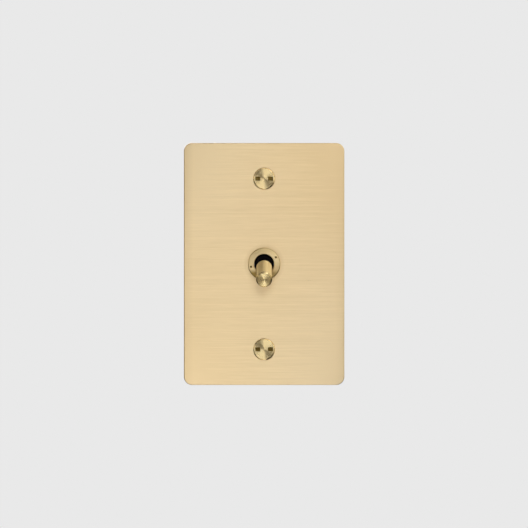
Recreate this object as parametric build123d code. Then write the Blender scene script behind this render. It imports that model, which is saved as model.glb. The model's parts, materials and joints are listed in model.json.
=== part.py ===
from build123d import *
from math import acos, asin, cos, degrees, radians, sin, tan
import os

# A wall light switch with a brass face plate and a turned toggle lever.
# Every piece is drawn with x to the right, y up and z out of the wall, and z = 0 is the wall
# surface, which is also the back of the face plate. WALL then stands it up, so that +Z is up
# and the front looks along -Y. Sizes are in millimetres, and angles in degrees.
WALL = Plane(origin=(0, 0, 0), x_dir=(1, 0, 0), z_dir=(0, -1, 0))

# Clearances between pieces
running_gap = 0.03  # radial, a pin in its bearing
free_gap = 0.15  # radial, a shank or collar in a plain hole
ball_gap = 0.15  # radial, the lever's ball in the collar
swing_gap = 0.25  # beside the lever's arm at the end of its swing
plunger_gap = 0.12  # from the plunger's nose to the rocker
contact_gap = 0.05  # between a closed pair of contact buttons
overlap = 0.5  # how far a cutting tool runs past the face that it opens

# Face plate
plate_width = 78.4
plate_height = 118.2
plate_thickness = 3.0
plate_corner_radius = 4.0
plate_edge_radius = 0.35

# Face screws, which go through the plate into the wall box
box_screw_spacing = 83.34
screw_head_diameter = 10.5
screw_head_thickness = 1.6
screw_head_proud = 0.6  # of the plate's front face
screw_bevel_width = 0.35
screw_bevel_height = 0.3
screw_seat_gap = 0.25  # radial, round the head in its counterbore
screw_neck_diameter = 3.9
screw_neck_end = -0.3  # z where the plain neck gives way to the thread
screw_thread_diameter = 3.5
screw_reach = 22.0  # how far the thread stands behind the wall surface
screw_point = 0.5
key_pocket_length = 2.4
key_pocket_width = 2.0
key_pocket_depth = 1.0
key_pocket_inner = 1.9  # from the screw's axis to the pocket's near end
centre_mark_diameter = 0.7
centre_mark_depth = 0.12

# Threaded collar of the front housing, and the bezel nut on it
collar_diameter = 12.0
collar_wall = 1.15
nut_wall = 1.85
nut_height = 2.2
nut_lip_thickness = 0.7
nut_lip_overhang = 0.1
nut_edge_chamfer = 0.25
nut_end_gap = 0.1  # from the collar's end to the inside of the lip
pin_hole_diameter = 1.0
pin_hole_depth = 1.2
pin_hole_angles = (30.0, 192.0)
pin_hole_margin = 0.05  # from the pin holes to the nut's thread

# Lever: a brass sleeve on a moulded core, which turns on a cross pin in the collar
lever_tilt = 19.0  # each way from the middle
pivot_below_nut = 3.2  # the pin's axis, below the nut's front face
pin_diameter = 1.8
sleeve_diameter = 7.7
sleeve_start = 5.56  # from the pin's axis, along the lever
sleeve_end = 23.3
sleeve_tip_chamfer = 0.55
sleeve_base_radius = 0.25
stem_diameter = 4.6
stem_depth_in_sleeve = 13.5
ball_front = 1.2  # where the ball is cut flat, ahead of the pin
ball_back = 2.6  # where it meets the arm, behind the pin
arm_diameter = 5.2
arm_length = 9.5

# Sprung plunger in the end of the lever's arm
plunger_diameter = 3.1
plunger_bore_gap = 0.1
plunger_bore_end = 2.5  # from the pin's axis
plunger_body_start = 7.0
plunger_reach = 12.5  # from the pin's axis to the tip of its nose
spring_wire = 0.4
spring_bore_gap = 0.15
spring_end_gap = 0.05
spring_turns = 5

# Rocker, a bent strip with a trough that the plunger runs in
rocker_tilt = 5.5  # each way from the middle
rocker_thickness = 0.9
rocker_width = 5.0
rocker_wing_margin = 5.0  # degrees of trough past the plunger's last place
trunnion_diameter = 1.4
trunnion_length = 1.2
contact_reach = 7.0  # from the rocker's axis to the middle of a button
button_diameter = 3.0
button_height = 0.7
button_dome_radius = 6.0
wing_past_button = 0.4
fixed_button_diameter = 3.4
fixed_button_height = 1.0

# Terminals, which are folded strips with a plate on the side of the rear housing
strip_thickness = 1.0
strip_width = 4.4
common_strip_width = 5.0
terminal_plate_thickness = 1.2
terminal_plate_width = 8.4
terminal_plate_length = 7.6
terminal_offset = 2.2  # from a fixed contact out to the middle of its plate
fork_thickness = 0.9
fork_width = 3.4
fork_gap = 0.2  # from the rocker's side to the fork
fork_rise = 1.3  # above the rocker's axis
strip_past_contact = 0.6
plate_fit_gap = 0.1  # round a terminal in its slot

# Terminal and earth screws
terminal_thread_diameter = 3.5
terminal_thread_length = 6.4
terminal_head_diameter = 7.2
terminal_head_thickness = 1.9
terminal_head_edge = 0.45
driver_slot_width = 1.1
driver_slot_depth = 0.9

# Lock washer and earth strap, between the plate and the front housing
washer_thickness = 0.6
washer_width = 2.9
washer_teeth = 12
washer_notch_width = 1.5
washer_notch_depth = 1.2
strap_thickness = 0.8
strap_ring_width = 4.2
strap_tongue_width = 9.0
strap_past_housing = 6.5
strap_tab_length = 9.5
strap_bend_radius = 0.5
earth_thread_length = 4.6
pip_diameter = 2.0
pip_height = 1.0  # into the back of the plate
pip_offset = 14.5  # above the collar's axis

# Housing
housing_width = 24.0
housing_corner_radius = 2.0
housing_edge_chamfer = 0.5
front_wall = 1.6
cavity_side_gap = 1.5  # beside the fork
cavity_end_gap = 3.0  # past the rocker's wings
cavity_front_gap = 0.6  # ahead of a raised wing
floor_thickness = 7.6
barrier = 1.1  # between a terminal's recess and the screw next to it
terminal_pocket_gap = 0.35

# Screws that hold the two housings together
housing_screw_diameter = 2.5
housing_screw_head_diameter = 4.6
housing_screw_head_thickness = 1.7
housing_screw_head_gap = 0.2
housing_screw_head_sunk = 2.2
housing_screw_bite = 4.0
housing_screw_edge = 0.35
housing_screw_slot_width = 0.7
housing_screw_slot_depth = 0.8
boss_wall = 1.0


# Places worked out from the sizes above
collar_bore = collar_diameter - 2 * collar_wall
nut_diameter = collar_diameter + 2 * nut_wall
nut_front = plate_thickness + nut_height
collar_top = nut_front - nut_lip_thickness - nut_end_gap
pivot_z = nut_front - pivot_below_nut
ball_radius = collar_bore / 2 - ball_gap
# The corner of the ball's cut back dips lowest when the lever is at the end of its swing.
ball_dip = ball_radius * cos(acos(ball_back / ball_radius) - radians(lever_tilt))
cover_front = -(washer_thickness + strap_thickness)

# The plunger's nose draws nearly a circle in the rocker's own frame. The trough follows it.
nose_radius = plunger_diameter / 2
nose_centre = plunger_reach - nose_radius
rocker_drop = nose_centre + nose_radius + plunger_gap + rocker_thickness / 2
rocker_z = pivot_z - rocker_drop
tilt, rock = radians(lever_tilt), radians(rocker_tilt)
nose_up = nose_centre * sin(tilt)
nose_out = rocker_drop - nose_centre * cos(tilt)
nose_along = nose_up * cos(rock) - nose_out * sin(rock)
nose_rise = nose_up * sin(rock) + nose_out * cos(rock) - (rocker_drop - nose_centre)
path_radius = (nose_along**2 + nose_rise**2) / (2 * nose_rise)
trough_radius = path_radius + nose_radius + plunger_gap
trough_centre = trough_radius + rocker_thickness / 2
trough_angle = degrees(asin(nose_along / path_radius)) + rocker_wing_margin
wing_front = trough_centre - trough_radius * cos(radians(trough_angle))
wing_back = wing_front - rocker_thickness
wing_end = contact_reach + button_diameter / 2 + wing_past_button

# Where a dome on the tilted rocker comes lowest sets the height of the fixed contacts.
dome_centre = wing_back - button_height + button_dome_radius
closed_y = contact_reach * cos(rock) + dome_centre * sin(rock)
closed_z = rocker_z - contact_reach * sin(rock) + dome_centre * cos(rock) - button_dome_radius
fixed_top = closed_z - contact_gap
strip_top = fixed_top - fixed_button_height
floor_z = strip_top - strip_thickness
back_z = floor_z - floor_thickness

fork_inner = rocker_width / 2 + fork_gap
cavity_width = 2 * (fork_inner + fork_thickness + cavity_side_gap)
cavity_height = 2 * (wing_end + cavity_end_gap)
split_z = rocker_z + wing_front * cos(rock) + wing_end * sin(rock) + cavity_front_gap
terminal_y = closed_y + terminal_offset
terminal_z = floor_z - terminal_plate_length / 2 + strip_thickness / 2
boss_radius = housing_screw_head_diameter / 2 + housing_screw_head_gap
screw_row_y = terminal_y + terminal_plate_width / 2 + plate_fit_gap + barrier + boss_radius
screw_row_x = housing_width / 2 - boss_wall - boss_radius
housing_height = 2 * (screw_row_y + boss_radius + boss_wall)
terminal_face = housing_width / 2
strap_end = -(housing_height / 2 + strap_past_housing)
strap_hole = collar_diameter + 2 * free_gap
earth_z = cover_front - strap_tab_length / 2


def rod(diameter, low, high, x=0, y=0):
    """A round bar along z."""
    return Pos(x, y, (low + high) / 2) * Cylinder(diameter / 2, high - low)


def cross_rod(diameter, left, right, y=0, z=0):
    """A round bar along x."""
    return Pos((left + right) / 2, y, z) * Rot(0, 90, 0) * Cylinder(diameter / 2, right - left)


def block(left, right, bottom, top, low, high):
    """A rectangular block between six planes."""
    middle = Pos((left + right) / 2, (bottom + top) / 2, (low + high) / 2)
    return middle * Box(right - left, top - bottom, high - low)


def turned(points):
    """A solid turned about z from an outline of (radius, z) points."""
    outline = make_face(Polyline(*points, close=True))
    return revolve(Plane.XZ * outline, Axis.Z)


def screw_blank(head, thickness, edge, shank, length, slot_width, slot_depth):
    """A slotted screw along z. Its head sits on z = 0, and the shank points down."""
    point = shank / 8
    outline = [
        (0, -length),
        (shank / 2 - point, -length),
        (shank / 2, -length + point),
        (shank / 2, 0),
        (head / 2, 0),
        (head / 2, thickness - edge),
        (head / 2 - edge, thickness),
        (0, thickness),
    ]
    slot = block(-head, head, -slot_width / 2, slot_width / 2, thickness - slot_depth, 2 * thickness)
    return turned(outline) - slot


def face_plate():
    plate = extrude(RectangleRounded(plate_width, plate_height, plate_corner_radius), plate_thickness)
    front_edges = plate.faces().sort_by(Axis.Z)[-1].edges()
    plate = fillet(front_edges, plate_edge_radius)
    past = plate_thickness + overlap
    plate -= rod(collar_diameter + 2 * free_gap, -overlap, past)
    seat_z = plate_thickness + screw_head_proud - screw_head_thickness
    for side in (1, -1):
        y = side * box_screw_spacing / 2
        plate -= rod(screw_neck_diameter + 2 * free_gap, -overlap, past, y=y)
        plate -= rod(screw_head_diameter + 2 * screw_seat_gap, seat_z, past, y=y)
    return plate - rod(pip_diameter + 2 * free_gap, -overlap, pip_height + free_gap, y=pip_offset)


def face_screw(side):
    """One face screw, with a bevelled head that has a pocket each side of its middle."""
    top = plate_thickness + screw_head_proud
    under = top - screw_head_thickness
    head, neck = screw_head_diameter / 2, screw_neck_diameter / 2
    thread = screw_thread_diameter / 2
    screw = turned([
        (0, -screw_reach),
        (thread - screw_point, -screw_reach),
        (thread, -screw_reach + screw_point),
        (thread, screw_neck_end),
        (neck, screw_neck_end),
        (neck, under),
        (head, under),
        (head, top - screw_bevel_height),
        (head - screw_bevel_width, top),
        (centre_mark_diameter / 2, top),
        (0, top - centre_mark_depth),
    ])
    middle = key_pocket_inner + key_pocket_length / 2
    for x in (middle, -middle):
        pocket = extrude(Rectangle(key_pocket_length, key_pocket_width), key_pocket_depth + overlap)
        screw -= Pos(x, 0, top - key_pocket_depth) * pocket
    return Pos(0, side * box_screw_spacing / 2, 0) * screw


def bezel_nut():
    """The ring nut that clamps the plate, with holes for a pin spanner."""
    outer, thread = nut_diameter / 2, collar_diameter / 2
    lip = collar_bore / 2 - nut_lip_overhang
    edge = nut_edge_chamfer
    nut = turned([
        (thread, plate_thickness),
        (outer, plate_thickness),
        (outer, nut_front - edge),
        (outer - edge, nut_front),
        (lip + edge, nut_front),
        (lip, nut_front - edge),
        (lip, nut_front - nut_lip_thickness),
        (thread, nut_front - nut_lip_thickness),
    ])
    circle = thread + pin_hole_margin + pin_hole_diameter / 2
    for angle in pin_hole_angles:
        x, y = circle * cos(radians(angle)), circle * sin(radians(angle))
        nut -= rod(pin_hole_diameter, nut_front - pin_hole_depth, nut_front + overlap, x, y)
    return nut


def on_lever(piece):
    """Puts a piece drawn along z from the pin's axis onto the lever, with the handle down."""
    return Pos(0, 0, pivot_z) * Rot(lever_tilt, 0, 0) * piece


def lever_sleeve():
    radius, bore = sleeve_diameter / 2, stem_diameter / 2
    bottom = sleeve_start + stem_depth_in_sleeve
    chamfer_start = sleeve_end - sleeve_tip_chamfer
    sleeve = turned([
        (bore, sleeve_start),
        (radius, sleeve_start),
        (radius, chamfer_start),
        (radius - sleeve_tip_chamfer, sleeve_end),
        (centre_mark_diameter / 2, sleeve_end),
        (0, sleeve_end - centre_mark_depth),
        (0, bottom),
        (bore, bottom),
    ])
    rim = sleeve.edges().filter_by(GeomType.CIRCLE).group_by(Axis.Z)[0].sort_by(SortBy.RADIUS)[-1]
    return on_lever(fillet(rim, sleeve_base_radius))


def lever_core():
    """Stem, ball and arm in one moulding, with a cross hole for the pin and a bore for the plunger."""
    stem_end = sleeve_start + stem_depth_in_sleeve
    ball = Sphere(ball_radius) & rod(2 * ball_radius, -ball_back, ball_front)
    core = ball + rod(stem_diameter, 0, stem_end) + rod(arm_diameter, -arm_length, 0)
    core -= cross_rod(pin_diameter + 2 * running_gap, -collar_diameter, collar_diameter)
    bore = plunger_diameter + 2 * plunger_bore_gap
    core -= rod(bore, -arm_length - overlap, -plunger_bore_end)
    return on_lever(core)


def pivot_pin():
    """The cross pin. The hole in the plate keeps it from sliding out of the collar."""
    return cross_rod(pin_diameter, -collar_diameter / 2, collar_diameter / 2, z=pivot_z)


def plunger():
    body = rod(plunger_diameter, -nose_centre, -plunger_body_start)
    return on_lever(body + Pos(0, 0, -nose_centre) * Sphere(nose_radius))


def plunger_spring():
    bore = plunger_diameter + 2 * plunger_bore_gap
    radius = bore / 2 - spring_bore_gap - spring_wire / 2
    near = -plunger_bore_end - spring_end_gap - spring_wire / 2
    far = -plunger_body_start + spring_end_gap + spring_wire / 2
    coil = Helix(pitch=(near - far) / spring_turns, height=near - far, radius=radius)
    section = Plane(origin=coil @ 0, z_dir=coil % 0) * Circle(spring_wire / 2)
    return on_lever(Pos(0, 0, far) * sweep(section, path=coil, is_frenet=True))


def on_rocker(piece):
    """Puts a piece drawn round the rocker's axis onto the rocker, with its upper end pressed in."""
    return Pos(0, 0, rocker_z) * Rot(-rocker_tilt, 0, 0) * piece


def on_trough(radius, turn):
    """An (along, out) point on an arc round the trough's centre, so many degrees from the middle."""
    return (radius * sin(radians(turn)), trough_centre - radius * cos(radians(turn)))


def rocker_contact():
    """The bent strip, with a trunnion each side. One half is drawn in (along, out) pairs."""
    front, back = trough_radius, trough_radius + rocker_thickness
    front_foot = on_trough(front, trough_angle)
    back_foot = on_trough(back, trough_angle)
    # The back of a wing meets the back of the trough a little outside the trough's end.
    back_start = back_foot[0] + (wing_back - back_foot[1]) / tan(radians(trough_angle))
    half = Line(on_trough(back, 0), on_trough(front, 0))
    half += ThreePointArc(on_trough(front, 0), on_trough(front, trough_angle / 2), front_foot)
    half += Polyline(front_foot, (wing_end, wing_front), (wing_end, wing_back), (back_start, wing_back))
    half += Line((back_start, wing_back), back_foot)
    half += ThreePointArc(back_foot, on_trough(back, trough_angle / 2), on_trough(back, 0))
    section = make_face(half)
    section += mirror(section, Plane.YZ)
    strip = extrude(Plane.YZ * section, rocker_width / 2, both=True)
    for side in (1, -1):
        near, far = sorted((side * rocker_width / 2, side * (rocker_width / 2 + trunnion_length)))
        strip += cross_rod(trunnion_diameter, near, far)
    return on_rocker(strip)


def rocker_button(side):
    """A domed contact button on the back of one wing."""
    dome = Pos(0, 0, dome_centre) * Sphere(button_dome_radius)
    button = rod(button_diameter, wing_back - button_height, wing_back) & dome
    return on_rocker(Pos(0, side * contact_reach, 0) * button)


def fixed_button(side):
    return rod(fixed_button_diameter, strip_top, fixed_top, y=side * closed_y)


def side_plate(side, y):
    """The outer leg of a terminal, flush in the side of the housing, with its threaded hole."""
    outer, inner = side * terminal_face, side * (terminal_face - terminal_plate_thickness)
    half = terminal_plate_width / 2
    low = terminal_z - terminal_plate_length / 2
    leg = block(min(outer, inner), max(outer, inner), y - half, y + half, low, strip_top)
    return leg - cross_rod(terminal_thread_diameter, -housing_width, housing_width, y, terminal_z)


def contact_terminal(side):
    """A fixed contact's strip. Its plate is on the right of the housing."""
    left = -(fixed_button_diameter / 2 + strip_past_contact)
    bottom = side * closed_y - strip_width / 2
    strip = block(left, terminal_face, bottom, bottom + strip_width, floor_z, strip_top)
    return strip + side_plate(1, side * terminal_y)


def common_terminal():
    """The strip that carries the rocker in a fork. Its plate is on the left of the housing."""
    half = common_strip_width / 2
    outer = fork_inner + fork_thickness
    strip = block(-terminal_face, outer, -half, half, floor_z, strip_top)
    strip += side_plate(-1, 0)
    for side in (1, -1):
        near, far = sorted((side * fork_inner, side * outer))
        strip += block(near, far, -fork_width / 2, fork_width / 2, strip_top, rocker_z + fork_rise)
    seat = trunnion_diameter + 2 * running_gap
    strip -= cross_rod(seat, -outer - overlap, outer + overlap, z=rocker_z)
    mouth = rocker_z + fork_rise + overlap
    return strip - block(-outer - overlap, outer + overlap, -seat / 2, seat / 2, rocker_z, mouth)


def terminal_screw(side, y):
    """A terminal screw, with its head on the plate at one side of the housing."""
    screw = screw_blank(
        terminal_head_diameter,
        terminal_head_thickness,
        terminal_head_edge,
        terminal_thread_diameter,
        terminal_thread_length,
        driver_slot_width,
        driver_slot_depth,
    )
    return Pos(side * terminal_face, y, terminal_z) * Rot(0, side * 90, 0) * screw


def lock_washer():
    """An internal-tooth washer: the notches leave teeth round its hole."""
    hole = strap_hole / 2
    washer = Circle(hole + washer_width) - Circle(hole)
    notch_end = hole + washer_notch_depth
    notch = Pos(notch_end / 2, 0) * Rectangle(notch_end, washer_notch_width)
    for turn in range(washer_teeth):
        washer -= Rot(0, 0, turn * 360 / washer_teeth) * notch
    return extrude(washer, -washer_thickness)


def earth_strap():
    """A flat ring and tongue behind the washer, bent back below the housing for the earth screw."""
    half = strap_tongue_width / 2
    ring = Circle(strap_hole / 2 + strap_ring_width)
    top = pip_offset + half
    tongue = Pos(0, (top + strap_end) / 2) * Rectangle(strap_tongue_width, top - strap_end)
    tongue = fillet(tongue.vertices().group_by(Axis.Y)[-1], half - pip_diameter / 2)
    flat = ring + tongue - Circle(strap_hole / 2) - Pos(0, pip_offset) * Circle(pip_diameter / 2 + free_gap)
    front = -washer_thickness
    strap = Pos(0, 0, front) * extrude(flat, -strap_thickness)
    tab = block(-half, half, strap_end, strap_end + strap_thickness, cover_front - strap_tab_length, front)
    strap += tab
    bend = strap.edges().filter_by(Axis.X).filter_by(lambda e: abs(e.center().Z - front) < 1e-4)
    strap = fillet(bend.sort_by(Axis.Y)[0], strap_bend_radius + strap_thickness)
    hole = Cylinder(terminal_thread_diameter / 2, 4 * strap_thickness)
    return strap - Pos(0, strap_end, earth_z) * Rot(90, 0, 0) * hole


def earth_screw():
    screw = screw_blank(
        terminal_head_diameter,
        terminal_head_thickness,
        terminal_head_edge,
        terminal_thread_diameter,
        earth_thread_length,
        driver_slot_width,
        driver_slot_depth,
    )
    return Pos(0, strap_end, earth_z) * Rot(90, 0, 0) * screw


def housing_block(low, high):
    outline = RectangleRounded(housing_width, housing_height, housing_corner_radius)
    return Pos(0, 0, low) * extrude(outline, high - low)


def screw_places():
    return [(x * screw_row_x, y * screw_row_y) for x in (1, -1) for y in (1, -1)]


def front_housing():
    """The moulded cover. Its collar goes through the plate, and a pip stops it from turning."""
    cover = housing_block(split_z, cover_front)
    cover = chamfer(cover.faces().sort_by(Axis.Z)[-1].edges(), housing_edge_chamfer)
    cover += rod(collar_diameter, cover_front, collar_top)
    cover += rod(pip_diameter, cover_front, pip_height, y=pip_offset)
    inside = cover_front - front_wall
    cover -= rod(collar_bore, pivot_z - ball_dip - swing_gap, collar_top + overlap)
    # The arm swings in a slot that opens like a fan behind the ball.
    arm = arm_diameter / 2 + swing_gap
    near = arm / cos(tilt)
    reach = pivot_z - inside + overlap
    far = near + reach * tan(tilt)
    fan = make_face(Polyline((-near, 0), (near, 0), (far, -reach), (-far, -reach), close=True))
    cover -= Pos(0, 0, pivot_z) * extrude(Plane.YZ * fan, arm, both=True)
    half_width, half_height = cavity_width / 2, cavity_height / 2
    cover -= block(-half_width, half_width, -half_height, half_height, split_z - overlap, inside)
    cover -= cross_rod(pin_diameter, -collar_diameter, collar_diameter, z=pivot_z)
    for x, y in screw_places():
        cover -= rod(housing_screw_diameter, split_z - overlap, split_z + housing_screw_bite, x, y)
    return cover


def rear_housing():
    """The moulded base, with a cavity for the contacts and a recess for each terminal."""
    base = housing_block(back_z, split_z)
    base = chamfer(base.faces().sort_by(Axis.Z)[0].edges(), housing_edge_chamfer)
    half_width, half_height = cavity_width / 2, cavity_height / 2
    base -= block(-half_width, half_width, -half_height, half_height, floor_z, split_z + overlap)
    head_seat = back_z + housing_screw_head_sunk
    for x, y in screw_places():
        base -= rod(housing_screw_diameter + 2 * free_gap, back_z - overlap, split_z + overlap, x, y)
        base -= rod(2 * boss_radius, back_z - overlap, head_seat, x, y)
    gap = plate_fit_gap
    pocket = terminal_thread_diameter + 2 * terminal_pocket_gap
    pocket_end = terminal_face - terminal_thread_length - terminal_pocket_gap
    terminals = [(1, terminal_y, strip_width, closed_y), (1, -terminal_y, strip_width, -closed_y)]
    terminals.append((-1, 0, common_strip_width, 0))
    for side, y, width, strip_y in terminals:
        near, far = sorted((side * (half_width - overlap), side * (terminal_face + overlap)))
        strip_half = width / 2 + gap
        base -= block(near, far, strip_y - strip_half, strip_y + strip_half, floor_z, strip_top + gap)
        plate_half = terminal_plate_width / 2 + gap
        low = terminal_z - terminal_plate_length / 2 - gap
        plate_back = terminal_face - terminal_plate_thickness
        near, far = sorted((side * plate_back, side * (terminal_face + overlap)))
        base -= block(near, far, y - plate_half, y + plate_half, low, strip_top + gap)
        near, far = sorted((side * pocket_end, side * (terminal_face + overlap)))
        base -= cross_rod(pocket, near, far, y, terminal_z)
    return base


def housing_screw(x, y):
    """A long screw from the back of the base into the cover."""
    seat = back_z + housing_screw_head_sunk
    length = split_z + housing_screw_bite - seat - free_gap
    screw = screw_blank(
        housing_screw_head_diameter,
        housing_screw_head_thickness,
        housing_screw_edge,
        housing_screw_diameter,
        length,
        housing_screw_slot_width,
        housing_screw_slot_depth,
    )
    return Pos(x, y, seat) * Rot(180, 0, 0) * screw


pieces = {
    "face_plate": face_plate(),
    "upper_face_screw": face_screw(1),
    "lower_face_screw": face_screw(-1),
    "bezel_nut": bezel_nut(),
    "lever_sleeve": lever_sleeve(),
    "lever_core": lever_core(),
    "pivot_pin": pivot_pin(),
    "plunger": plunger(),
    "plunger_spring": plunger_spring(),
    "rocker_contact": rocker_contact(),
    "rocker_button_upper": rocker_button(1),
    "rocker_button_lower": rocker_button(-1),
    "fixed_button_upper": fixed_button(1),
    "fixed_button_lower": fixed_button(-1),
    "upper_terminal": contact_terminal(1),
    "lower_terminal": contact_terminal(-1),
    "common_terminal": common_terminal(),
    "upper_terminal_screw": terminal_screw(1, terminal_y),
    "lower_terminal_screw": terminal_screw(1, -terminal_y),
    "common_terminal_screw": terminal_screw(-1, 0),
    "lock_washer": lock_washer(),
    "earth_strap": earth_strap(),
    "earth_screw": earth_screw(),
    "front_housing": front_housing(),
    "rear_housing": rear_housing(),
}
for number, (x, y) in enumerate(screw_places(), start=1):
    pieces[f"housing_screw_{number}"] = housing_screw(x, y)

os.makedirs("parts", exist_ok=True)
for name, piece in pieces.items():
    export_step(WALL * piece, f"parts/{name}.step")
print("lever axis y", round(-pivot_z, 4), "rocker axis y", round(-rocker_z, 4))
print("terminal screws y", round(-terminal_z, 4), "z", round(terminal_y, 4))
print("earth screw y", round(-earth_z, 4), "z", round(strap_end, 4))
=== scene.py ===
# %% [markdown]
# A wall light switch, seen square on: a brushed brass plate, a turned toggle lever in a ring nut, and
# two face screws. Behind the plate is the switch itself, which goes into the wall.
# The CAD parts come in first and are never moved. Pieces whose shape is right keep it and only get a
# finish. Small turned pieces are made again here, with the rounded edges and threads that CAD leaves out.

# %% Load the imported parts
import json
import math

import bmesh
import bpy
from mathutils import Matrix, Vector

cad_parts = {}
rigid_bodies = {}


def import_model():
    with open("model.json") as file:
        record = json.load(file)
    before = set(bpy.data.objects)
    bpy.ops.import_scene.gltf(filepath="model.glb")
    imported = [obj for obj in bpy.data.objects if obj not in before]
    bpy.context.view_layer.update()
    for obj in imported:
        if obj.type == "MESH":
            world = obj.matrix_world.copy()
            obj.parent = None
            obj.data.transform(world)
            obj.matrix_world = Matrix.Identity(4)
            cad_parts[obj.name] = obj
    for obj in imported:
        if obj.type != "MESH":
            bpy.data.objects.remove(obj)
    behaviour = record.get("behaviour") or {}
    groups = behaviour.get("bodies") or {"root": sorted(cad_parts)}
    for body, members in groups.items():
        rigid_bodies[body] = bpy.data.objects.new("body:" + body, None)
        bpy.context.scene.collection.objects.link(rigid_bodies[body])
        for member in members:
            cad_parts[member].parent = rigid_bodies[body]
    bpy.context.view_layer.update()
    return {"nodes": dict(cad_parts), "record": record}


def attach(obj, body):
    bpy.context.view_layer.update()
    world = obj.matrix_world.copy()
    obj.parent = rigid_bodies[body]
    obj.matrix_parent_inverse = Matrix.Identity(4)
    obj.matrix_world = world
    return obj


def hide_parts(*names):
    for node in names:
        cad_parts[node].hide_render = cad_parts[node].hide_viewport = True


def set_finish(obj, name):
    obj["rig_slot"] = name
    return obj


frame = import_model()
print("CAD pieces", len(frame["nodes"]))

# %% [markdown]
# The drawing of this switch has x to the right, y up and z out of the wall, in millimetres. Blender works
# in metres with z up, so one turn about x stands a drawn piece on the wall, and a second one about the
# lever's cross pin tilts what belongs to the lever.

# %% From the drawing to the wall
MM = 0.001
WALL = Matrix.Rotation(math.radians(90), 4, "X")
pivot_out = 2.0
lever_tilt = 19.0


def standing(x, y, z):
    """The place of a piece drawn along z, at a point of the drawing."""
    return WALL @ Matrix.Translation(Vector((x, y, z)) * MM)


lever_place = standing(0, 0, pivot_out) @ Matrix.Rotation(math.radians(lever_tilt), 4, "X")
print("the lever points along", [round(v, 3) for v in lever_place.to_3x3() @ Vector((0, 0, 1))])

# %% [markdown]
# Screws, the ring nut and the lever's sleeve are all made on a lathe: a tool follows an outline while the
# bar turns. A mesh can be made in the same way, from an outline of radii and heights and many copies of
# it round the axis. A real edge is never quite sharp, and its tiny rounding is what catches the light, so
# corners of the outline can be eased into small arcs. An extra point just past each arc keeps the smooth
# shading of the arc from spreading over the flat face next to it.

# %% Outline of a turned piece
def eased(corners, steps=4):
    """An outline in which each (radius, height, rounding) corner is turned into a small arc."""
    past = 0.25
    outline = []
    for index, corner in enumerate(corners):
        here = Vector(corner[:2])
        rounding = corner[2] if len(corner) > 2 else 0
        if not rounding:
            outline.append(here)
            continue
        before = Vector(corners[index - 1][:2])
        after = Vector(corners[(index + 1) % len(corners)][:2])
        start = here + (before - here).normalized() * rounding
        end = here + (after - here).normalized() * rounding
        outline.append(start + (start - here) * past)
        for step in range(steps + 1):
            share = step / steps
            outline.append(start.lerp(here, share).lerp(here.lerp(end, share), share))
        outline.append(end + (end - here) * past)
    return outline


def shaft(radius, low, high, pitch):
    """Outline points up a threaded shank, close enough together to show its thread."""
    count = round((high - low) / pitch * 12)
    return [Vector((radius, low + (high - low) * step / count)) for step in range(count + 1)]


print("points on an eased bevel", len(eased([(0, 0), (5.25, 0, 0.08), (4.9, 0.3, 0.08), (0, 0.3)])))

# %% [markdown]
# A screw thread is a helix. Where the outline runs up a threaded shank, the radius of each point also
# depends on how far round it is, so that the groove climbs one pitch in a turn. The groove fades out at
# both ends of the thread, as it does where a thread roller stops.

# %% Mesh of a turned piece
def groove_depth(height, turn, thread):
    """How deep the thread's groove is at a height and a share of a turn."""
    low, high, pitch, depth = thread
    phase = (height / pitch - turn) % 1
    groove = min(1.0, 1.2 * abs(2 * phase - 1))
    fade = min(1.0, (height - low) / pitch, (high - height) / pitch)
    return depth * groove * max(0.0, fade)


def lathe(outline, around=96, thread=None, closed=False):
    """A mesh turned about z from (radius, height) points in millimetres."""
    work = bmesh.new()
    rings = []
    for radius, height in outline:
        steps = around if radius > 1e-6 else 1
        ring = []
        for step in range(steps):
            turn = step / around
            out = radius - (groove_depth(height, turn, thread) if thread and steps > 1 else 0)
            angle = turn * math.tau
            ring.append(work.verts.new(Vector((out * math.cos(angle), out * math.sin(angle), height)) * MM))
        rings.append(ring)
    pairs = list(zip(rings, rings[1:]))
    if closed:
        pairs.append((rings[-1], rings[0]))
    for lower, upper in pairs:
        for step in range(around):
            after = (step + 1) % around
            corners = [lower[step % len(lower)], lower[after % len(lower)]]
            corners += [upper[after % len(upper)], upper[step % len(upper)]]
            work.faces.new(list(dict.fromkeys(corners)))
    bmesh.ops.recalc_face_normals(work, faces=work.faces)
    mesh = bpy.data.meshes.new("turned")
    work.to_mesh(mesh)
    work.free()
    return mesh


print("faces in a plain turned disc", len(lathe([(0, 0), (1, 0), (1, 1), (0, 1)]).polygons))

# %% [markdown]
# Pockets, slots and spanner holes are milled or drilled after turning. Here a cutter of the same shape is
# taken away with a Boolean. The cutter flares out a little at its top, so each cut gets a broken edge.

# %% Cutters, and pieces with cuts in them
def cutter(length, width, corner, bottom, top, centre=(0, 0), flare=0.05, steps=6):
    """A mesh with a rounded rectangle for its outline. It widens by flare at the top and goes on up."""
    work = bmesh.new()
    rings = []
    for height, grow in ((bottom, 0), (top - flare, 0), (top + 1, 1 + flare)):
        ring = []
        for quarter, (side_x, side_y) in enumerate(((1, 1), (-1, 1), (-1, -1), (1, -1))):
            for step in range(steps + 1):
                angle = math.radians(90 * (quarter + step / steps))
                x = centre[0] + side_x * (length / 2 - corner) + (corner + grow) * math.cos(angle)
                y = centre[1] + side_y * (width / 2 - corner) + (corner + grow) * math.sin(angle)
                ring.append(work.verts.new(Vector((x, y, height)) * MM))
        rings.append(ring)
    for lower, upper in zip(rings, rings[1:]):
        for step in range(len(lower)):
            after = (step + 1) % len(lower)
            work.faces.new([lower[step], lower[after], upper[after], upper[step]])
    work.faces.new(rings[0][::-1])
    work.faces.new(rings[-1])
    bmesh.ops.recalc_face_normals(work, faces=work.faces)
    mesh = bpy.data.meshes.new("cutter")
    work.to_mesh(mesh)
    work.free()
    return mesh


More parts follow.
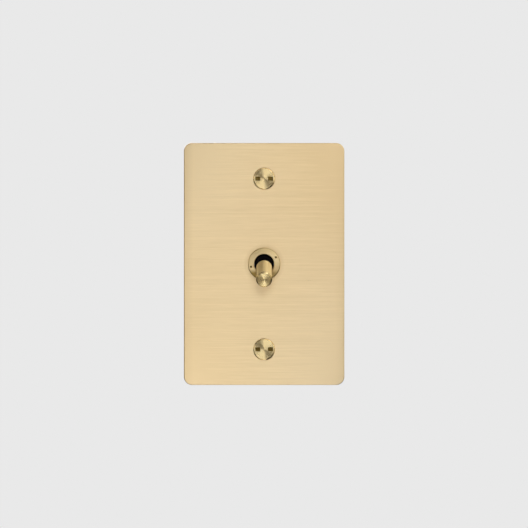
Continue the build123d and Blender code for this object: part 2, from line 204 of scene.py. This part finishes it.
def cut_away(made, mesh):
    """Takes a cutter's mesh away from a piece."""
    tool = bpy.data.objects.new("tool", mesh)
    bpy.context.scene.collection.objects.link(tool)
    boolean = made.modifiers.new("cut", "BOOLEAN")
    boolean.operation = "DIFFERENCE"
    boolean.solver = "EXACT"
    boolean.object = tool
    shown = made.evaluated_get(bpy.context.evaluated_depsgraph_get())
    made.data = bpy.data.meshes.new_from_object(shown)
    made.modifiers.clear()
    bpy.data.objects.remove(tool)


def piece(name, mesh, place, cuts, body, slot, node, sharp=28):
    """A piece that stands for a CAD node. Edges that turn by more than sharp degrees stay sharp."""
    made = bpy.data.objects.new(name, mesh)
    bpy.context.scene.collection.objects.link(made)
    for cut in cuts:
        cut_away(made, cut)
    work = bmesh.new()
    work.from_mesh(made.data)
    for edge in work.edges:
        edge.smooth = edge.calc_face_angle(0) < math.radians(sharp)
    for face in work.faces:
        face.smooth = True
    work.to_mesh(made.data)
    work.free()
    made.data.name = name
    made.matrix_world = place
    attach(made, body)
    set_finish(made, slot)
    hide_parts(node)
    print(name, "faces", len(made.data.polygons))


# %% [markdown]
# The two face screws hold the switch to the wall box. Each has a low bevelled head with two milled
# pockets for a two-pin key, a small centre mark from the lathe, and a No. 6-32 thread, which has 32 turns
# to the inch.

# %% Face screws
thread_pitch = 25.4 / 32
thread_depth = 0.45
screw_spacing = 83.34
face_screw_outline = [Vector((0, -22)), Vector((1.25, -22))]
face_screw_outline += shaft(1.75, -21.5, -0.3, thread_pitch)
face_screw_outline += eased([
    (1.95, -0.3),
    (1.95, 2.0),
    (5.25, 2.0, 0.08),
    (5.25, 3.3, 0.08),
    (4.9, 3.6, 0.08),
    (0.42, 3.6, 0.04),
    (0, 3.48),
])
for node, side in (("upper_face_screw", 1), ("lower_face_screw", -1)):
    turned = lathe(face_screw_outline, 80, (-21.5, -0.4, thread_pitch, thread_depth))
    place = standing(0, side * screw_spacing / 2, 0)
    pockets = [cutter(2.4, 2.0, 0.2, 2.6, 3.6, centre=(middle, 0)) for middle in (3.1, -3.1)]
    piece(node + "_turned", turned, place, pockets, "switch_body", "screw_brass", node)

# %% [markdown]
# The ring nut screws onto the collar of the switch and clamps the plate. It has a thin lip over the end
# of the collar and two holes for a pin spanner, which the photo shows at the right and the left. Its
# outline closes on itself, because the piece is a ring.

# %% Ring nut
nut_outline = eased([
    (6.0, 3.0),
    (7.85, 3.0, 0.05),
    (7.85, 4.95, 0.1),
    (7.6, 5.2, 0.1),
    (5.0, 5.2, 0.1),
    (4.75, 4.95, 0.1),
    (4.75, 4.5),
    (6.0, 4.5),
])
spanner_holes = []
for angle in (30, 192):
    centre = (6.55 * math.cos(math.radians(angle)), 6.55 * math.sin(math.radians(angle)))
    spanner_holes.append(cutter(1.0, 1.0, 0.49, 4.0, 5.2, centre, flare=0.12))
nut = lathe(nut_outline, 120, closed=True)
piece("bezel_nut_turned", nut, standing(0, 0, 0), spanner_holes, "switch_body", "ring_brass", "bezel_nut")

# %% [markdown]
# The lever's handle is a brass sleeve, bored from its lower end for the moulded core and turned plain
# outside. The chamfer round its tip makes the bright glint of the photo, so it keeps a crisp but eased
# edge, and the tip has the lathe's centre mark.

# %% Lever sleeve
sleeve_outline = eased([
    (0, 19.06),
    (2.3, 19.06),
    (2.3, 5.56),
    (3.85, 5.56, 0.25),
    (3.85, 22.75, 0.06),
    (3.3, 23.3, 0.06),
    (0.42, 23.3, 0.04),
    (0, 23.18),
])
sleeve = lathe(sleeve_outline, 120)
piece("lever_sleeve_turned", sleeve, lever_place, [], "lever", "lever_brass", "lever_sleeve")

# %% [markdown]
# Wires go under binding screws: wide, slightly domed heads with a driver slot, on short 6-32 threads. The
# three terminal screws point out of the sides, and the green earth screw points down from its strap. One
# outline serves for all four, with the thread as long as each one's drawing says.

# %% Binding screws
dome_radius = 8.5
dome = []
for step in range(10, -1, -1):
    radius = 0.33 * step
    dome.append((radius, 1.9 - dome_radius + math.sqrt(dome_radius**2 - radius**2)))


def binding_screw(node, place, length, slot):
    outline = [Vector((0, -length)), Vector((1.3, -length))]
    outline += shaft(1.75, 0.45 - length, -0.05, thread_pitch)
    outline += eased([(1.75, 0), (3.6, 0, 0.08), (3.6, 1.02, 0.12), dome[0]])[:-1]
    outline += [Vector(point) for point in dome]
    turned = lathe(outline, 64, (0.4 - length, 0.2, thread_pitch, thread_depth))
    driver_slot = cutter(9, 1.1, 0.08, 1.0, 1.85)
    piece(node + "_turned", turned, place, [driver_slot], "switch_body", slot, node)


terminal_back = -16.711
terminal_up = 9.7821
for node, side, up, slot in (
    ("upper_terminal_screw", 1, terminal_up, "binding_brass"),
    ("lower_terminal_screw", 1, -terminal_up, "binding_brass"),
    ("common_terminal_screw", -1, 0, "binding_black"),
):
    place = standing(side * 12, up, terminal_back) @ Matrix.Rotation(math.radians(side * 90), 4, "Y")
    binding_screw(node, place, 6.4, slot)
place = standing(0, -27.6821, -6.15) @ Matrix.Rotation(math.radians(90), 4, "X")
binding_screw("earth_screw", place, 4.6, "green_steel")

# %% [markdown]
# Every finish is built from nodes. To keep that readable, a Channel stands for what comes out of a node,
# and sums and products of channels are written as ordinary expressions. A Network adds any other node
# from its type, its settings and the values or channels of its inputs.

# %% Channels and networks
class Channel:
    """A number, colour or vector that varies over the surface."""

    def __init__(self, network, socket):
        self.network = network
        self.socket = socket

    def math(self, operation, first, second=0.0):
        return self.network.node("ShaderNodeMath", {"operation": operation}, {0: first, 1: second})

    def __add__(self, other):
        return self.math("ADD", self, other)

    def __sub__(self, other):
        return self.math("SUBTRACT", self, other)

    def __rsub__(self, other):
        return self.math("SUBTRACT", other, self)

    def __mul__(self, other):
        return self.math("MULTIPLY", self, other)

    def __pow__(self, other):
        return self.math("POWER", self, other)

    __radd__ = __add__


class Network:
    """The nodes of a material or of the world."""

    def __init__(self, owner):
        owner.use_nodes = True
        self.owner = owner
        self.tree = owner.node_tree
        self.shader = self.tree.nodes.get("Principled BSDF")

    def node(self, kind, settings=None, inputs=None, output=0):
        """Adds a node, sets it up, joins its inputs, and gives one of its outputs as a channel."""
        added = self.tree.nodes.new(kind)
        for name, value in (settings or {}).items():
            setattr(added, name, value)
        for name, value in (inputs or {}).items():
            self.put(added.inputs[name], value)
        return Channel(self, added.outputs[output])

    def put(self, socket, value):
        """Joins a channel to a socket, or sets the socket's own value."""
        if isinstance(value, Channel):
            self.tree.links.new(value.socket, socket)
        else:
            socket.default_value = value

    def mix(self, share, first, second):
        """A colour between two others."""
        return self.node("ShaderNodeMix", {"data_type": "RGBA"}, {0: share, 6: first, 7: second}, output=2)

    def stretched(self, size):
        """The place on the piece, in steps of size, which is three lengths in millimetres."""
        place = self.node("ShaderNodeTexCoord", output=3)
        steps = [1 / (length * MM) for length in size]
        return self.node("ShaderNodeVectorMath", {"operation": "MULTIPLY"}, {0: place, 1: steps})

    def noise(self, size, detail=2.0, contrast=1.0):
        """Noise about 0.5 whose patches have that size in millimetres."""
        inputs = {"Vector": self.stretched(size), "Scale": 1.0, "Detail": detail}
        fleck = self.node("ShaderNodeTexNoise", inputs=inputs)
        return (fleck - 0.5) * contrast + 0.5

    def ramp(self, value, low, high):
        """0 where the value is at low, 1 where it is at high, and even in between."""
        return self.node("ShaderNodeMapRange", inputs={0: value, 1: low, 2: high})

    def bump(self, height, depth):
        """A Normal for a height that goes from 0 to 1 over a depth in millimetres."""
        inputs = {"Strength": 1.0, "Distance": depth * MM, "Height": height}
        self.put(self.shader.inputs["Normal"], self.node("ShaderNodeBump", inputs=inputs))


def surface(name, **sockets):
    """A new material. Sockets are given by name, with _ for a space."""
    network = Network(bpy.data.materials.new(name))
    for socket, value in sockets.items():
        network.put(network.shader.inputs[socket.replace("_", " ")], value)
    return network


finishes = {}
print("object coordinates are in metres, so 1 mm is", MM)

# %% [markdown]
# The plate is brushed from side to side on a belt. Brushing leaves fine grooves that are very long and
# very narrow, so noise is stretched along x, in long streaks and shorter flecks. The grooves spread
# reflected light up and down but hardly sideways, which is what Anisotropic does once its direction is
# turned by a quarter: on a flat face the direction starts out along x, and it is the spread across the
# grooves that has to be the wide one.
# The colour is deeper close round the ring nut, which is painted shade where the ring stands over the
# plate, and it is deeper towards the left and right edges. Two opposite corners are a little darker and
# the other two a little lighter, which is painted light and shade for how the plate's reflection changes
# towards its corners. The outermost edges at the sides are browner still, the left one more so, and show
# as thin lines of painted shade.

# %% Brushed brass of the plate
BRASS_PALE = (0.96, 0.713, 0.390, 1)
BRASS_DEEP = (0.84, 0.608, 0.318, 1)
DARKER_BRASS = (0.74, 0.52, 0.26, 1)
PAINTED_SHADE_BROWN = (0.37, 0.24, 0.06, 1)
groove_spacing = 0.16
corner_light_and_shade = 0.0004
ring_shade_radii = (10.2, 7.8)
side_darkening = (34.5, 38.5)
edge_shade_radii = (38.75, 39.15)
brushed = surface("brushed_brass", Metallic=1.0, Anisotropic=0.6, Anisotropic_Rotation=0.25)
grooves = brushed.noise((22, 4, groove_spacing), detail=3)
streaks = brushed.noise((70, 6, 0.8), detail=4, contrast=2.0)
flecks = brushed.noise((11, 5, 0.5), detail=2, contrast=2.6)
patches = brushed.noise((30, 30, 18), detail=1)
place = brushed.stretched((1, 1, 1))
x, z = [brushed.node("ShaderNodeSeparateXYZ", inputs={0: place}, output=axis) for axis in (0, 2)]
# Painted light and shade: x times z darkens two opposite corners and lightens the other two.
tone = grooves * 0.1 + streaks * 0.5 + flecks * 0.35 + patches * 0.05 - x * z * corner_light_and_shade
colour = brushed.mix(tone, BRASS_DEEP, BRASS_PALE)
out = (x**2) ** 0.5
# Painted shade close round the ring nut, where it stands over the plate.
nut_shade_on_plate = brushed.ramp((x**2 + z**2) ** 0.5, *ring_shade_radii)
by_side = brushed.ramp(out, *side_darkening)
colour = brushed.mix(nut_shade_on_plate * 0.7 + by_side * (0.36 - x * 0.003), colour, DARKER_BRASS)
# Painted shade along the thin lines at the plate's side edges, the left one darker.
colour = brushed.mix(brushed.ramp(out, *edge_shade_radii) * (0.55 - x * 0.009), colour, PAINTED_SHADE_BROWN)
brushed.put(brushed.shader.inputs["Base Color"], colour)
brushed.put(brushed.shader.inputs["Roughness"], 0.26 + grooves * 0.05 + streaks * 0.05)
brushed.bump(grooves * 0.7 + streaks * 0.3, 0.0015)
finishes["plate_brass"] = brushed.owner
print("groove spacing in mm", groove_spacing)

# %% [markdown]
# A lathe leaves fine rings. On a flat end they spread light only towards and away from the axis, and that
# gives the bright and dark fans on the screw heads and the lever's tip. The direction of Anisotropic runs
# round the local z axis, which here is each piece's own axis, so a quarter turn points it along the
# radius. The rings come from noise that depends only on radius and height. How broad and how strong the
# fans are is set for each piece, because the photo shows crisp ones on the screws and none on the ring.
# The key pockets and the spanner holes are dark, so a recess between two heights and two radii gets a
# brown painted shade. The ring can also get painted shade, round its rim, at its top and in the corners
# below the lever. The lever's tip is polished finer than its side, and its bevel gets painted shade at the
# left and the right.

# %% Turned brass
rings_per_mm = 9
bands_per_mm = 1.7
key_pockets = (3.6, 2.6, 1.8, 4.4)
ring_holes = (5.2, 4.0, 6.0, 7.1)
tip_polish = (22.6, 0.24, 3.3)


def turned_brass(name, pale, deep, roughness, fan, recess=None, polish=None, painted_ring_shade=False):
    brass = surface(name, Metallic=1.0, Anisotropic=fan, Anisotropic_Rotation=0.25)
    place = brass.stretched((1, 1, 1))
    axes = [brass.node("ShaderNodeSeparateXYZ", inputs={0: place}, output=axis) for axis in range(3)]
    across, up, height = axes
    radius = (across**2 + up**2) ** 0.5
    along = radius + height
    line = {"noise_dimensions": "1D"}
    rings = brass.node("ShaderNodeTexNoise", line, {"W": along * rings_per_mm, "Scale": 1, "Detail": 2})
    bands = brass.node("ShaderNodeTexNoise", line, {"W": along * bands_per_mm, "Scale": 1, "Detail": 1})
    patches = brass.noise((2.5, 2.5, 2.5), detail=3)
    tone = rings * 0.3 + bands * 0.3 + patches * 0.4
    colour = brass.mix(tone, deep, pale)
    gloss = roughness - 0.06 + bands * 0.06 + patches * 0.06
    if recess:
        top, bottom, inner, outer = recess
        # Painted shade in the recess.
        dark = brass.ramp(height, top - 0.06, top - 0.3) * brass.ramp(height, bottom - 0.2, bottom - 0.05)
        dark = dark * brass.ramp(radius, inner - 0.15, inner) * brass.ramp(radius, outer + 0.15, outer)
        colour = brass.mix(dark, colour, PAINTED_SHADE_BROWN)
        gloss = gloss + dark * 0.2
    if painted_ring_shade:
        # Painted shade round the ring's rim, at its top and in the corners below the lever.
        low = brass.ramp(up, -2.4, -4.4) * (brass.ramp(across, 2, -4) * 0.25 + 0.7)
        high = brass.ramp(up, 4.2, 6.4) * 0.3
        rim = brass.ramp(radius, 7.5, 7.65) * 0.5
        colour = brass.mix(low + high, brass.mix(rim, colour, PAINTED_SHADE_BROWN), PAINTED_SHADE_BROWN)
    if polish:
        above, amount, bevel = polish
        tip = brass.ramp(height, above, above + 0.1)
        gloss = gloss - tip * amount
        sides = brass.ramp((across**2) ** 0.5, 1.6, 2.8)
        # Painted shade on the bevel at the left and the right.
        bevel_shade = tip * brass.ramp(radius, bevel - 0.05, bevel + 0.05) * sides * 0.75
        colour = brass.mix(bevel_shade, colour, PAINTED_SHADE_BROWN)
    brass.put(brass.shader.inputs["Base Color"], colour)
    brass.put(brass.shader.inputs["Roughness"], gloss)
    brass.bump(rings, 0.0008)
    finishes[name] = brass.owner


turned_brass("screw_brass", (0.95, 0.722, 0.365, 1), (0.86, 0.63, 0.278, 1), 0.29, 1.0, key_pockets)
turned_brass("ring_brass", (1.0, 0.76, 0.40, 1), (0.93, 0.69, 0.33, 1), 0.40, 0.5, ring_holes, painted_ring_shade=True)
turned_brass("lever_brass", (0.94, 0.73, 0.36, 1), (0.88, 0.67, 0.32, 1), 0.50, 1.0, polish=tip_polish)
turned_brass("binding_brass", (0.90, 0.68, 0.36, 1), (0.80, 0.57, 0.27, 1), 0.32, 0.6)

# %% [markdown]
# Terminals, the rocker and the contacts are stamped from rolled strip. Rolling leaves long faint lines
# along the strip, and handling leaves it a little blotchy, so stretched noise and round noise are added
# up. Silver contacts are whiter and smoother than the brass and bronze.

# %% Rolled strip
def rolled_strip(name, pale, deep, roughness, along):
    strip = surface(name, Metallic=1.0, Anisotropic=0.3)
    size = [0.15, 0.15, 0.15]
    size["xyz".index(along)] = 8
    lines = strip.noise(size, detail=2)
    stains = strip.noise((2.2, 2.2, 2.2), detail=4, contrast=1.6)
    strip.put(strip.shader.inputs["Base Color"], strip.mix(lines * 0.3 + stains * 0.7, deep, pale))
    strip.put(strip.shader.inputs["Roughness"], roughness - 0.08 + lines * 0.06 + stains * 0.1)
    strip.bump(lines, 0.002)
    finishes[name] = strip.owner


rolled_strip("terminal_brass", (0.90, 0.67, 0.34, 1), (0.74, 0.50, 0.21, 1), 0.34, "z")
rolled_strip("rocker_bronze", (0.86, 0.54, 0.33, 1), (0.70, 0.38, 0.20, 1), 0.36, "z")
rolled_strip("contact_silver", (0.93, 0.92, 0.89, 1), (0.80, 0.79, 0.76, 1), 0.28, "x")

# %% [markdown]
# The steel parts are plated. Zinc is bluish grey with soft cloudy patches and a faint yellow cast from
# its chromate. The earth screw is green and the common screw is black, so that wires go to the right
# place. All three are thin coats over steel, and a tumbled surface gives them a fine texture.

# %% Plated steel
def plated(name, pale, deep, roughness, metallic=1.0, coat=0.0):
    steel = surface(name, Metallic=metallic, Coat_Weight=coat, Coat_Roughness=0.25)
    clouds = steel.noise((1.6, 1.6, 1.6), detail=4, contrast=1.7)
    grain = steel.noise((0.18, 0.18, 0.18), detail=2)
    steel.put(steel.shader.inputs["Base Color"], steel.mix(clouds, deep, pale))
    steel.put(steel.shader.inputs["Roughness"], roughness - 0.1 + clouds * 0.12 + grain * 0.08)
    steel.bump(grain, 0.003)
    finishes[name] = steel.owner


plated("zinc_steel", (0.74, 0.75, 0.77, 1), (0.58, 0.585, 0.58, 1), 0.40)
plated("pin_steel", (0.66, 0.66, 0.67, 1), (0.54, 0.54, 0.55, 1), 0.30)
plated("spring_steel", (0.52, 0.52, 0.53, 1), (0.38, 0.38, 0.39, 1), 0.34)
plated("green_steel", (0.06, 0.42, 0.14, 1), (0.02, 0.24, 0.07, 1), 0.38, 0.85, 0.3)
plated("binding_black", (0.06, 0.06, 0.065, 1), (0.02, 0.02, 0.024, 1), 0.42, 0.7, 0.2)

# %% [markdown]
# The housing is moulded from a black filled plastic, and the lever's core from black nylon. A moulding
# copies the spark-eroded texture of its mould: a fine even roughness, with broad and faint changes in
# gloss where the plastic flowed. The core sits in the dark opening, so it gets almost no specular light of
# its own, and its black is darker than the housing's, as painted shade in the opening.

# %% Moulded plastic
def moulded(name, pale, deep, roughness, texture, specular=0.5):
    plastic = surface(name, Specular_IOR_Level=specular)
    grain = plastic.noise((texture, texture, texture), detail=3)
    flow = plastic.noise((9, 9, 9), detail=2, contrast=1.5)
    plastic.put(plastic.shader.inputs["Base Color"], plastic.mix(grain * 0.5 + flow * 0.5, deep, pale))
    plastic.put(plastic.shader.inputs["Roughness"], roughness - 0.1 + grain * 0.08 + flow * 0.12)
    plastic.bump(grain, 0.012)
    finishes[name] = plastic.owner


moulded("front_moulding", (0.030, 0.030, 0.031, 1), (0.018, 0.018, 0.019, 1), 0.46, 0.16)
moulded("rear_moulding", (0.034, 0.034, 0.035, 1), (0.020, 0.020, 0.021, 1), 0.46, 0.16)
# The nylon's own black, made darker still as painted shade in the opening.
moulded("black_nylon", (0.007, 0.005, 0.006, 1), (0.003, 0.002, 0.003, 1), 0.62, 0.12, specular=0.1)
moulded("natural_nylon", (0.80, 0.78, 0.70, 1), (0.70, 0.67, 0.58, 1), 0.42, 0.2)

# %% [markdown]
# Each piece has a material slot in the record. The CAD pieces and the pieces made here are painted from
# the same table, so that a repaint of one slot changes all of its pieces.

# %% Paint every piece
slot_of = {part["node"]: part["material_slot"] for part in frame["record"]["subparts"]}
for node, made in frame["nodes"].items():
    made.data.materials.clear()
    made.data.materials.append(finishes[slot_of[node]])
for made in [made for made in bpy.data.objects if "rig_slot" in made]:
    made.data.materials.clear()
    made.data.materials.append(finishes[made["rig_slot"]])
print("finishes", len(finishes))

# %% [markdown]
# The photo is a plain pale ground with no shadow on it, and a wall switch stands on no floor. The world
# gives that ground to the camera and to whatever the metal reflects, and lights the rest of the scene a
# little more softly.

# %% Ground
GROUND = (0.8148, 0.8148, 0.8148, 1)
sky = Network(bpy.data.worlds.new("studio"))
bpy.context.scene.world = sky.owner
kinds_of_ray = ("Is Camera Ray", "Is Glossy Ray", "Is Transmission Ray")
rays = [sky.node("ShaderNodeLightPath", output=name) for name in kinds_of_ray]
seen = sky.node("ShaderNodeMath", {"operation": "MAXIMUM"}, {0: rays[0], 1: rays[1]})
seen = sky.node("ShaderNodeMath", {"operation": "MAXIMUM"}, {0: seen, 1: rays[2]})
shown = sky.node("ShaderNodeBackground", inputs={"Color": GROUND, "Strength": 1.0})
fill = sky.node("ShaderNodeBackground", inputs={"Color": GROUND, "Strength": 0.6})
background = sky.node("ShaderNodeMixShader", inputs={0: seen, 1: fill, 2: shown})
sky.put(sky.tree.nodes["World Output"].inputs["Surface"], background)
print("ground", GROUND[:3])

# %% [markdown]
# Brass is mostly a picture of what stands round it, so it is photographed in a tent of panels, some lit
# and some black. This tent is a drum round the camera's line. Its flat end is 0.8 m in front of the
# plate, and its wall reaches as far behind it. A place on it is given by two angles at the middle of the
# plate: turn goes from the right towards the top, as the camera sees it, and lean is the angle away from
# the line to the camera.

# %% Places on the tent
END_AWAY = 0.8
END_LEAN = 60
WALL_RADIUS = END_AWAY * math.tan(math.radians(END_LEAN))


def on_tent(turn, lean):
    """The point of the drum that is seen at a turn and a lean, in metres."""
    turn, slope = math.radians(turn), math.tan(math.radians(lean))
    if lean <= END_LEAN:
        out, forward = END_AWAY * slope, END_AWAY
    else:
        out, forward = WALL_RADIUS, WALL_RADIUS * math.cos(math.radians(lean)) / math.sin(math.radians(lean))
    return (out * math.cos(turn), -forward, out * math.sin(turn))


print("the tent is", round(2 * WALL_RADIUS, 2), "m across")

# %% [markdown]
# The tent is plain pale cloth, as bright as the ground, with panels in front of it: a first and a last
# turn, a first and a last lean, and how bright the panel is. A later panel covers an earlier one. Lit ones
# at the upper right and the lower left make the bright fans of the screws, black ones between make the
# dark fans, and the lit strip low in the middle makes the bright wedges of the tip. The last two are for
# the lever: a lit one above keeps its side even, and a black one low behind darkens its lower chamfer. A
# dim panel is warmer than a bright one.
# The other levels come from a fit: each part of the tent was lit alone, and the renders were weighed
# against how bright the brass is in the photo. So the lights suit that view, and from either side the
# plate mirrors the black panels and looks too dark. Only reflections show the tent. It lights no matt
# surface, and the camera doesn't see it.

# %% Light tent
panels = [
    (280, 360, 11, 100, 0.00),
    (120, 240, 20, 80, 0.00),
    (200, 280, 11, 20, 2.40),
    (100, 260, 32, 60, 0.00),
    (100, 160, 11, 20, 0.00),
    (60, 80, 11, 20, 1.81),
    (340, 420, 32, 80, 1.00),
    (260, 280, 46, 60, 1.48),
    (280, 300, 5, 46, 0.23),
    (160, 180, 32, 100, 1.00),
    (100, 120, 11, 100, 0.00),
    (340, 400, 20, 46, 0.18),
    (100, 120, 0.5, 20, 0.00),
    (40, 60, 46, 60, 3.00),
    (280, 300, 0.5, 32, 0.00),
    (20, 40, 11, 20, 3.00),
    (220, 240, 5, 20, 1.84),
    (20, 60, 20, 32, 0.00),
    (160, 180, 11, 20, 0.00),
    (0, 80, 80, 100, 1.00),
    (240, 260, 20, 32, 0.41),
    (180, 240, 80, 100, 0.27),
    (120, 140, 5, 11, 3.00),
    (260, 280, 0.5, 11, 0.00),
    (0, 20, 46, 60, 2.58),
    (240, 260, 60, 100, 1.00),
    (340, 360, 5, 20, 0.04),
    (300, 320, 0.5, 11, 3.00),
    (80, 100, 11, 20, 2.10),
    (80, 120, 32, 46, 0.00),
    (240, 300, 0.5, 5, 0.00),
    (80, 100, 46, 60, 0.00),
    (20, 100, 60, 80, 1.00),
    (100, 140, 60, 120, 0.65),
    (190, 350, 100, 120, 0.02),
]
tent_leans = (0.5, 5, 11, 20, 32, 46, 60, 80, 100, 120)
turn_step = 5
warmth = (1.0, 1.12, 1.3)


def level_at(turn, lean):
    """How bright the tent is at a turn and a lean."""
    level = GROUND[0]
    for first, last, near, far, light in panels:
        if near < lean < far and (turn - first) % 360 < last - first:
            level = light
    return level


points, faces, colours = [], [], []
for near, far in zip(tent_leans, tent_leans[1:]):
    for turn in range(0, 360, turn_step):
        level = level_at(turn + turn_step / 2, (near + far) / 2)
        faces.append(range(len(points), len(points) + 4))
        after = turn + turn_step
        corners = [(turn, near), (after, near), (after, far), (turn, far)]
        points += [on_tent(*corner) for corner in corners]
        colours += [level**power for power in warmth] + [1]
tent_mesh = bpy.data.meshes.new("light_tent")
tent_mesh.from_pydata(points, [], faces)
tent_mesh.attributes.new("panel_light", "FLOAT_COLOR", "FACE").data.foreach_set("color", colours)
cloth = surface("tent_cloth", Base_Color=(0, 0, 0, 1), Specular_IOR_Level=0, Emission_Strength=1.0)
panel_light = cloth.node("ShaderNodeAttribute", {"attribute_name": "panel_light"})
cloth.put(cloth.shader.inputs["Emission Color"], panel_light)
tent_mesh.materials.append(cloth.owner)
tent = bpy.data.objects.new("light_tent", tent_mesh)
bpy.context.scene.collection.objects.link(tent)
tent.visible_camera = False
tent.visible_diffuse = False
tent.visible_shadow = False
print("panels", len(panels), "mean level", round(sum(colours[::4]) / len(faces), 2))

# %% [markdown]
# The tent is open at the back. A soft lamp stands there and lights the back of the switch from above.

# %% Lamp behind
lamp = bpy.data.lights.new("behind", "AREA")
lamp.shape = "RECTANGLE"
lamp.size = 0.6
lamp.size_y = 0.6
lamp.energy = 6.0
lamp_object = bpy.data.objects.new("behind", lamp)
bpy.context.scene.collection.objects.link(lamp_object)
lamp_place = Vector((-0.39, 0.92, 0.67))
lamp_object.location = lamp_place
lamp_object.rotation_euler = lamp_place.to_track_quat("Z", "Y").to_euler()
lamp_object.visible_camera = False
print("lamp behind at", [round(v, 2) for v in lamp_place])

# %% [markdown]
# The photo looks square on, and is taken to be from about a metre. The plate is 160 of its 528 pixels
# wide, which fixes the lens once the distance is chosen, and the switch sits a fraction of a pixel off
# the middle.

# %% Camera
sensor_width = 36
camera_data = bpy.data.cameras.new("camera")
camera_data.sensor_width = sensor_width
camera_data.lens = 139.6
camera = bpy.data.objects.new("camera", camera_data)
camera.location = (-0.00007, -1.003, 0)
camera.rotation_euler = (math.radians(90), 0, 0)
bpy.context.scene.collection.objects.link(camera)
bpy.context.scene.camera = camera
bpy.context.scene.view_settings.view_transform = "Standard"
print("picture width at the plate, m", round(sensor_width / camera_data.lens, 4))
